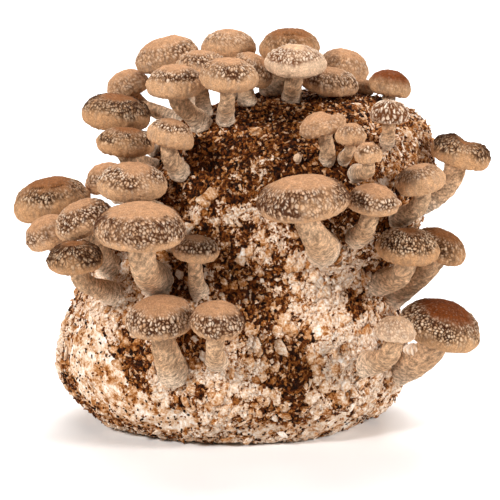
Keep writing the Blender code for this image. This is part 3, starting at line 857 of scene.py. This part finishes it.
def makeBud():
    mesh = refined(mergedCopy("bud"), 2, 0.3, 3)
    points = pointsOf(mesh)
    outward = normalsOf(mesh)
    points += outward * (0.25 + 0.15 * softNoise(points / mm, 1.2, 77))[:, None] * mm
    for mark in ("crown", "flakeAndHighlight", "crackAndShade"):
        setAttribute(mesh, mark, np.zeros(len(points)))
    movePoints(mesh, points)
    addPiece("budSkin", mesh, capSkins["pale"], ["bud"])


def makePleatedBit():                   # a small pale pleated growth between two stems on the right
    stem = bpy.data.objects["stemSkin_right_6"].data
    spots = pointsOf(stem)
    across, up = seenAt(spots)
    miss = np.hypot(across - 94, up - 40) + 0.4 * spots[:, 1] / mm
    middle = spots[np.argmin(miss)]
    bm = bmesh.new()
    bmesh.ops.create_uvsphere(bm, u_segments=64, v_segments=28, radius=1)
    mesh = bpy.data.meshes.new("pleats")
    bm.to_mesh(mesh)
    bm.free()
    points = pointsOf(mesh)
    turns = np.arctan2(points[:, 1], points[:, 0])
    pleat = 1 + 0.12 * np.cos(turns * 11 + 2 * points[:, 2]) + 0.2 * softNoise(points * 1.3, 1.0, 91)
    points = points * pleat[:, None] * [5.2, 3.4, 3.4]
    setAttribute(mesh, "crown", np.zeros(len(points)))
    # pale on the pleat crests and dark in the pleat valleys: painted highlight and painted shade
    setAttribute(mesh, "flakeAndHighlight", np.clip(0.4 + 0.5 * np.cos(turns * 11), 0, 1))
    setAttribute(mesh, "crackAndShade", np.clip(-0.2 - 0.4 * np.cos(turns * 11), 0, 1))
    movePoints(mesh, middle + points * mm)
    addPiece("pleatedBit", mesh, capSkins["pale"])


makeBud()
makePleatedBit()


# Table, lights and camera

studio = {
    "lamps": {              # place, what it points at, size, watts
        "key": ((-950, -950, 950), (0, 0, 100), 280, 22),
        "right": ((1150, -450, 650), (60, 0, 90), 350, 14),
        "overhead": ((-100, 500, 1450), (0, 100, 0), 700, 11),
        "sweep": ((0, 1700, 1500), (0, 1500, 0), 2400, 60),
    },
    "world": 0.12,
}


def makeStudio():
    scene = bpy.context.scene
    scene.view_settings.view_transform = "Standard"
    bm = bmesh.new()
    bmesh.ops.create_grid(bm, x_segments=1, y_segments=1, size=8)
    mesh = bpy.data.meshes.new("table")
    bm.to_mesh(mesh)
    bm.free()
    table = bpy.data.objects.new("table", mesh)
    scene.collection.objects.link(table)
    table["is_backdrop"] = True
    material, tree, shader, where = startMaterial("whiteTable", 0.9)    # matt white laminate
    shader.inputs["Base Color"].default_value = colour("#f6f5f4")
    mesh.materials.append(material)
    for label, (place, target, size, watts) in studio["lamps"].items():
        lamp = bpy.data.lights.new(label, "AREA")
        lamp.shape = "SQUARE"
        lamp.size = size * mm
        lamp.energy = watts
        holder = bpy.data.objects.new(label, lamp)
        holder.location = Vector(place) * mm
        holder.rotation_euler = (Vector(target) * mm - holder.location).to_track_quat("-Z", "Y").to_euler()
        scene.collection.objects.link(holder)
        holder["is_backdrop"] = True
    world = bpy.data.worlds.new("studio")
    world.use_nodes = True
    world.node_tree.nodes["Background"].inputs["Strength"].default_value = studio["world"]
    world.node_tree.nodes["Background"].inputs["Color"].default_value = (1, 0.94, 0.88, 1)
    scene.world = world

    tilt = math.radians(view["tilt"])
    lens = bpy.data.cameras.new("camera")
    lens.sensor_width = 36
    lens.lens = 18 / (145 / view["distance"])
    lens.clip_start, lens.clip_end = 0.05, 30
    camera = bpy.data.objects.new("camera", lens)
    aim = Vector(view["aim"]) * mm
    camera.location = aim + Vector((0, -math.cos(tilt), math.sin(tilt))) * view["distance"] * mm
    camera.rotation_euler = (math.pi / 2 - tilt, 0, 0)
    scene.collection.objects.link(camera)
    scene.camera = camera


makeStudio()
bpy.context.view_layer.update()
triangles = {piece.name: sum(len(face.vertices) - 2 for face in piece.data.polygons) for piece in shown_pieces()}
print("triangles in all:", sum(triangles.values()), "most in one:", max(triangles.items(), key=lambda row: row[1]))
